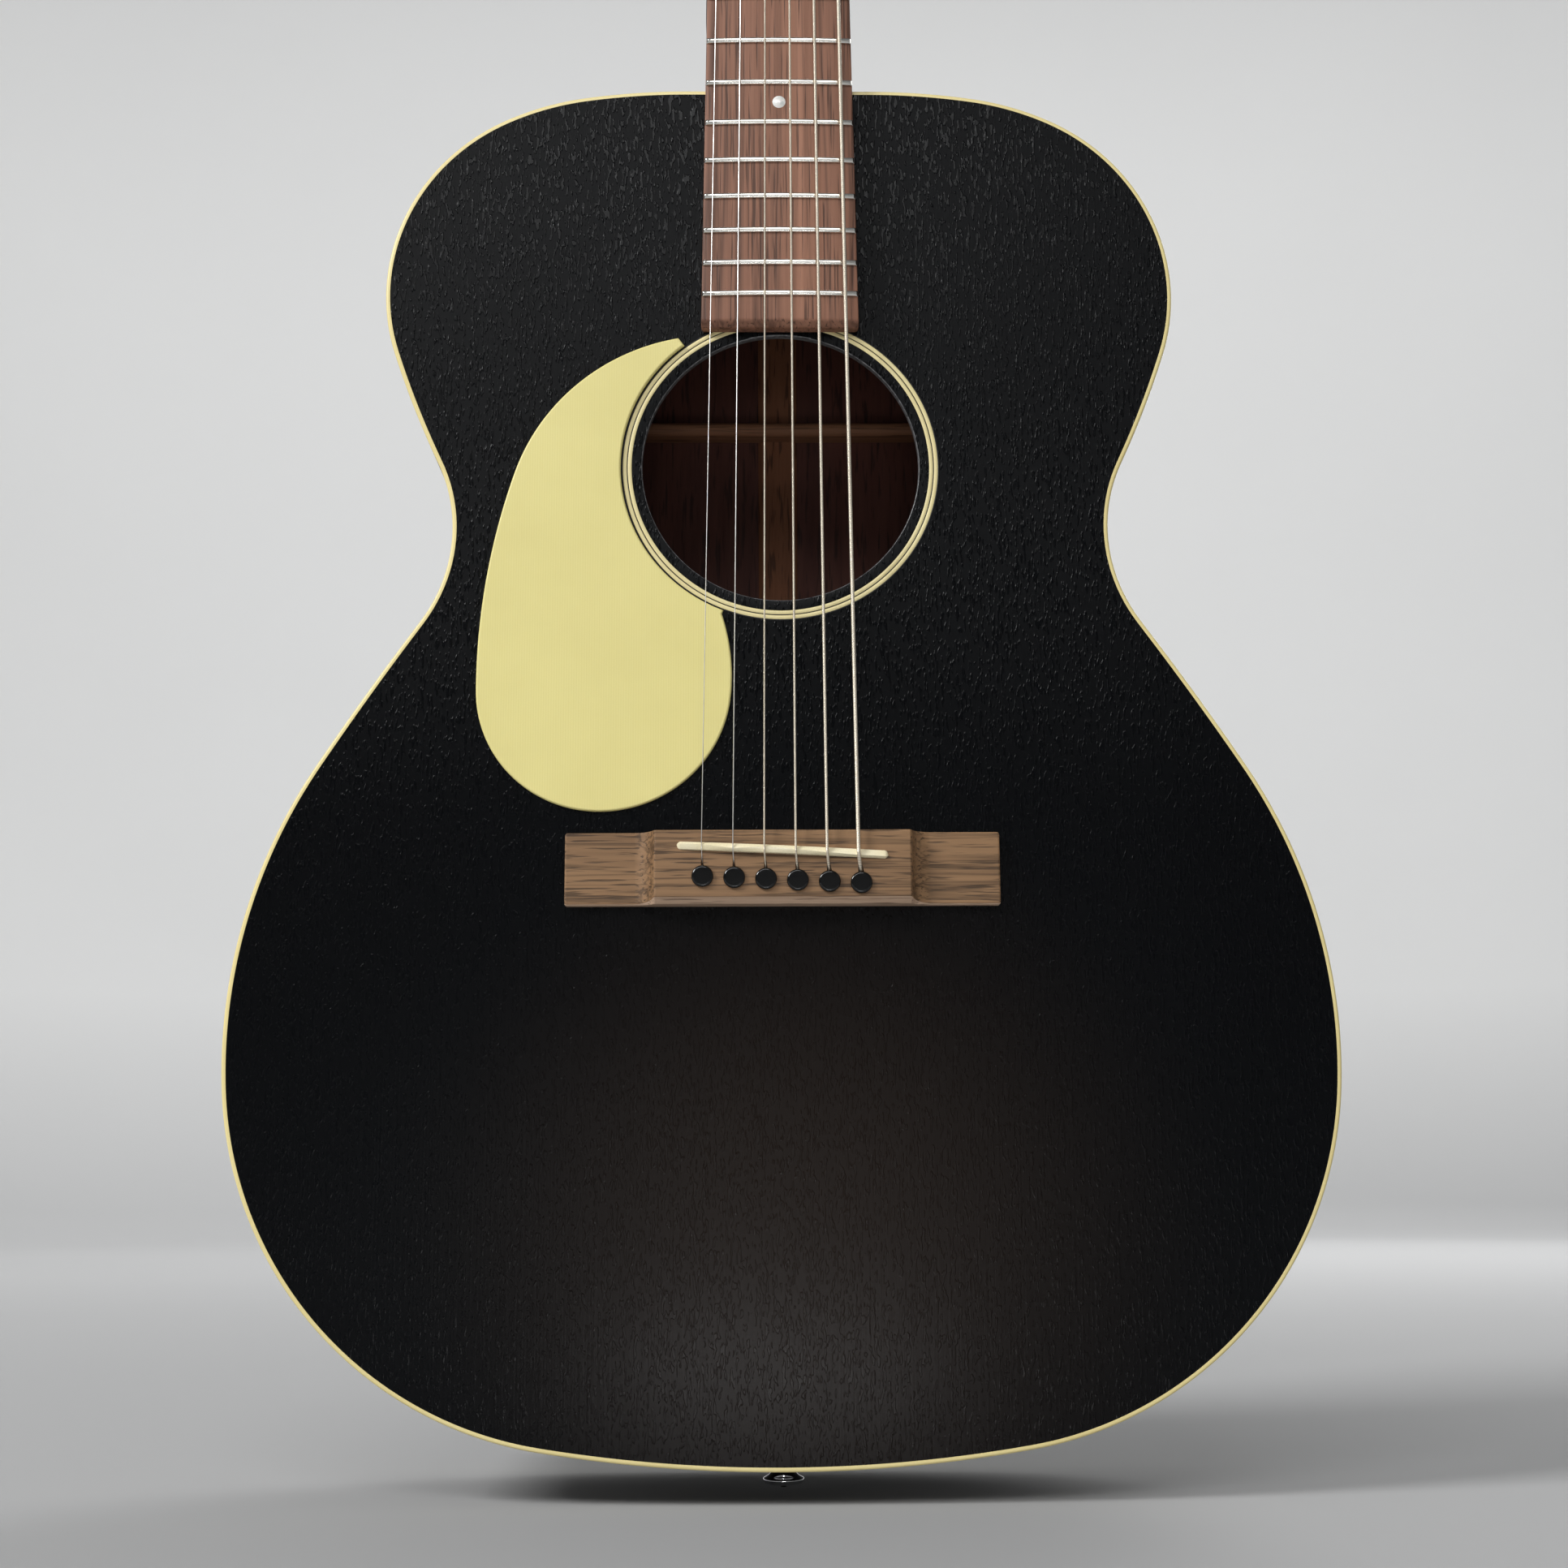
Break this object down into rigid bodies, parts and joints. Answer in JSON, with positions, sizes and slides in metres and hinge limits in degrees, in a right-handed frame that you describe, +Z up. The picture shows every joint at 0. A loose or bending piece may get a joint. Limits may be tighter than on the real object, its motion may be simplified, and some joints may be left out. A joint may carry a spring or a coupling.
{
  "type": "acoustic guitar",
  "caption": "Left-handed small-body steel-string guitar: dark satin body, bound edges, round sound hole, pickguard, pin bridge, fretted neck and geared open tuners.",
  "frame": {"origin": "on the strap pin's axis where it leaves the tail, at the middle of the body's depth", "axes": "+Z up the neck, -Y out of the front face, +X towards the bass side"},
  "size_m": [0.3814, 0.1183, 1.0211],
  "materials": {
    "dark_mahogany": "satin open-grain",
    "mahogany": "satin open-grain",
    "binding": "satin cream",
    "pickguard": "satin cream",
    "lining_wood": "raw",
    "spruce_brace": "raw",
    "back_brace": "raw",
    "rosewood": "oiled",
    "bone": "polished",
    "black_plastic": "gloss",
    "nickel": "polished",
    "pearl": "pearly",
    "steel": "satin",
    "brass": "machined",
    "plain_steel": "bright drawn",
    "bronze": "wound"
  },
  "bodies": {
    "guitar": {"top": "dark_mahogany", "back": "mahogany", "side_bass": "mahogany", "side_treble": "mahogany", "top_binding": "binding", "back_binding": "binding", "top_lining": "lining_wood", "back_lining": "lining_wood", "neck_block": "lining_wood", "end_block": "lining_wood", "x_braces": "spruce_brace", "tone_bars": "spruce_brace", "finger_braces": "spruce_brace", "upper_brace": "spruce_brace", "bridge_plate": "back_brace", "back_braces": "back_brace", "back_strip": "lining_wood", "rosette": "binding", "pickguard": "pickguard", "bridge": "rosewood", "saddle": "bone", "bridge_pins": "black_plastic", "end_pin": "nickel", "neck": "mahogany", "heel_cap": "black_plastic", "headplate": "rosewood", "nut": "bone", "fingerboard": "rosewood", "frets": "nickel", "position_dots": "pearl", "side_dots": "pearl", "truss_rod": "steel", "tuner_plates": "nickel", "tuner_bushings": "nickel", "tuner_screws": "nickel", "string_1": "plain_steel", "string_2": "plain_steel", "string_3": "bronze", "string_4": "bronze", "string_5": "bronze", "string_6": "bronze"},
    "truss_nut": {"truss_rod_nut": "brass"},
    "knob_1": {"tuner_knob_1": "nickel"},
    "post_1": {"tuner_post_1": "nickel", "string_winding_1": "plain_steel"},
    "knob_2": {"tuner_knob_2": "nickel"},
    "post_2": {"tuner_post_2": "nickel", "string_winding_2": "plain_steel"},
    "knob_3": {"tuner_knob_3": "nickel"},
    "post_3": {"tuner_post_3": "nickel", "string_winding_3": "bronze"},
    "knob_4": {"tuner_knob_4": "nickel"},
    "post_4": {"tuner_post_4": "nickel", "string_winding_4": "bronze"},
    "knob_5": {"tuner_knob_5": "nickel"},
    "post_5": {"tuner_post_5": "nickel", "string_winding_5": "bronze"},
    "knob_6": {"tuner_knob_6": "nickel"},
    "post_6": {"tuner_post_6": "nickel", "string_winding_6": "bronze"}
  },
  "joints": [
    {"name": "truss_rod_adjust", "type": "hinge", "parent": "guitar", "child": "truss_nut", "pos_m": [0, -0.0453, 0.442], "axis": [0, 0, 1], "range_deg": [-180, 180]},
    {"name": "knob_1_turn", "type": "hinge", "parent": "guitar", "child": "knob_1", "pos_m": [-0.0205, -0.02436, 0.88164], "axis": [1, 0, 0], "continuous": true},
    {"name": "post_1_turn", "type": "hinge", "parent": "guitar", "child": "post_1", "pos_m": [-0.0205, -0.02207, 0.89019], "axis": [0, 0.9659, -0.2588], "continuous": true},
    {"name": "knob_2_turn", "type": "hinge", "parent": "guitar", "child": "knob_2", "pos_m": [-0.0225, -0.014, 0.92028], "axis": [1, 0, 0], "continuous": true},
    {"name": "post_2_turn", "type": "hinge", "parent": "guitar", "child": "post_2", "pos_m": [-0.0225, -0.01171, 0.92883], "axis": [0, 0.9659, -0.2588], "continuous": true},
    {"name": "knob_3_turn", "type": "hinge", "parent": "guitar", "child": "knob_3", "pos_m": [-0.0245, -0.00365, 0.95892], "axis": [1, 0, 0], "continuous": true},
    {"name": "post_3_turn", "type": "hinge", "parent": "guitar", "child": "post_3", "pos_m": [-0.0245, -0.00136, 0.96747], "axis": [0, 0.9659, -0.2588], "continuous": true},
    {"name": "knob_4_turn", "type": "hinge", "parent": "guitar", "child": "knob_4", "pos_m": [0.0245, -0.00365, 0.95892], "axis": [1, 0, 0], "continuous": true},
    {"name": "post_4_turn", "type": "hinge", "parent": "guitar", "child": "post_4", "pos_m": [0.0245, -0.00136, 0.96747], "axis": [0, 0.9659, -0.2588], "continuous": true},
    {"name": "knob_5_turn", "type": "hinge", "parent": "guitar", "child": "knob_5", "pos_m": [0.0225, -0.014, 0.92028], "axis": [1, 0, 0], "continuous": true},
    {"name": "post_5_turn", "type": "hinge", "parent": "guitar", "child": "post_5", "pos_m": [0.0225, -0.01171, 0.92883], "axis": [0, 0.9659, -0.2588], "continuous": true},
    {"name": "knob_6_turn", "type": "hinge", "parent": "guitar", "child": "knob_6", "pos_m": [0.0205, -0.02436, 0.88164], "axis": [1, 0, 0], "continuous": true},
    {"name": "post_6_turn", "type": "hinge", "parent": "guitar", "child": "post_6", "pos_m": [0.0205, -0.02207, 0.89019], "axis": [0, 0.9659, -0.2588], "continuous": true}
  ],
  "couplings": [
    {"joint": "post_1_turn", "follows": "knob_1_turn", "ratio": -0.071429},
    {"joint": "post_2_turn", "follows": "knob_2_turn", "ratio": -0.071429},
    {"joint": "post_3_turn", "follows": "knob_3_turn", "ratio": -0.071429},
    {"joint": "post_4_turn", "follows": "knob_4_turn", "ratio": 0.071429},
    {"joint": "post_5_turn", "follows": "knob_5_turn", "ratio": 0.071429},
    {"joint": "post_6_turn", "follows": "knob_6_turn", "ratio": 0.071429}
  ]
}
